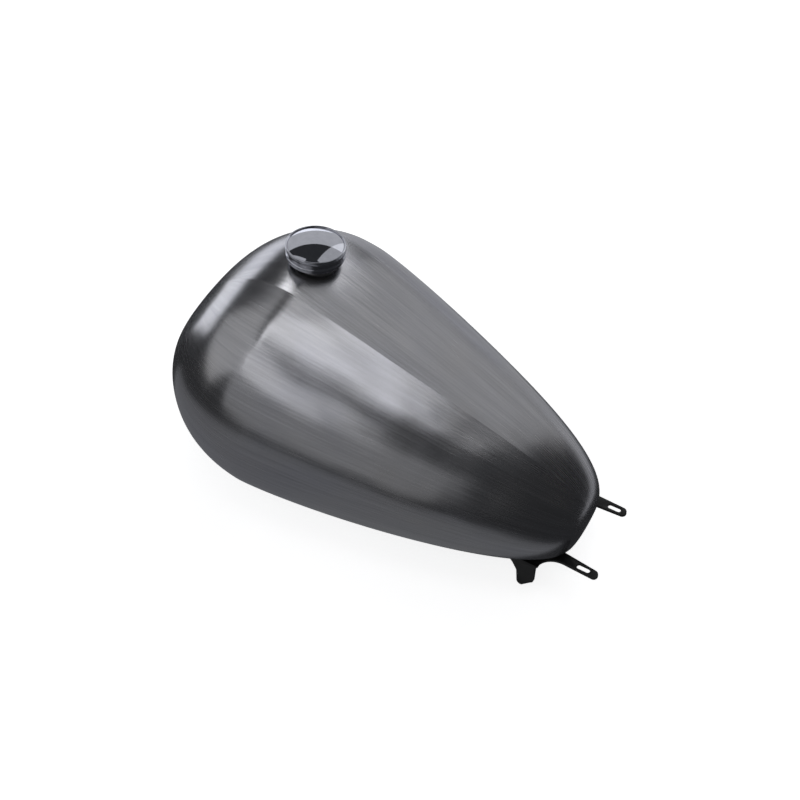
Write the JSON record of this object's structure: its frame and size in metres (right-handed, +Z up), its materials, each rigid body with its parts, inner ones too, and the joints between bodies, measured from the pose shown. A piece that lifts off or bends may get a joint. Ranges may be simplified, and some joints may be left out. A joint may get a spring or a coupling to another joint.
{
  "type": "motorcycle fuel tank",
  "caption": "Teardrop motorcycle fuel tank of raw brushed steel with a chrome screw cap on an off-centre neck, a channel underneath for the frame and slotted black rear brackets.",
  "frame": {"origin": "midway between the two threaded front bosses, on their lower face, in the middle of the channel under the tank", "axes": "+X towards the blunt front of the tank, +Y to the rider's left, +Z up"},
  "size_m": [0.5315, 0.3058, 0.2331],
  "materials": {
    "raw_steel": "satin, brushed along the length, uncoated",
    "pan_steel": "dull rolled sheet",
    "neck_steel": "turned",
    "turned_steel": "turned",
    "black_paint": "satin black",
    "zinc_plate": "bright zinc",
    "black_rubber": "matt",
    "cap_black": "semi-gloss black",
    "cap_chrome": "polished",
    "vent_brass": "plain",
    "spring_steel": "bright drawn wire"
  },
  "bodies": {
    "tank": {"left_shell": "raw_steel", "right_shell": "raw_steel", "channel_pan": "pan_steel", "filler_neck": "neck_steel", "outlet_flange": "turned_steel", "front_bosses": "turned_steel", "bracket_bosses": "turned_steel", "left_bracket": "black_paint", "right_bracket": "black_paint", "bracket_washers": "zinc_plate", "bracket_bolts": "zinc_plate"},
    "cap_seal": {"gasket": "black_rubber"},
    "cap": {"cap_plate": "cap_black", "cap_spigot": "cap_black", "vent_housing": "cap_black", "cap_skirt": "cap_chrome", "cap_rim": "cap_chrome", "cap_dome": "cap_chrome", "core_rivets": "zinc_plate", "vent_seat": "black_rubber", "vent_retainer": "vent_brass", "vent_spring": "spring_steel"},
    "vent": {"vent_valve": "vent_brass"}
  },
  "joints": [
    {"name": "cap_lift", "type": "slide", "parent": "tank", "child": "cap_seal", "axis": [0.1677, -0.2588, 0.9513], "range_m": [0, 0.12]},
    {"name": "cap_turn", "type": "hinge", "parent": "cap_seal", "child": "cap", "pos_m": [-0.0447, -0.053, 0.11569], "axis": [0.1677, -0.2588, 0.9513], "range_deg": [0, 720]},
    {"name": "vent_open", "type": "slide", "parent": "cap", "child": "vent", "axis": [-0.1677, 0.2588, -0.9513], "range_m": [0, 0.0012], "stiffness_N_per_m": 80, "springref_m": -0.004, "deforming": ["vent_spring"]}
  ]
}
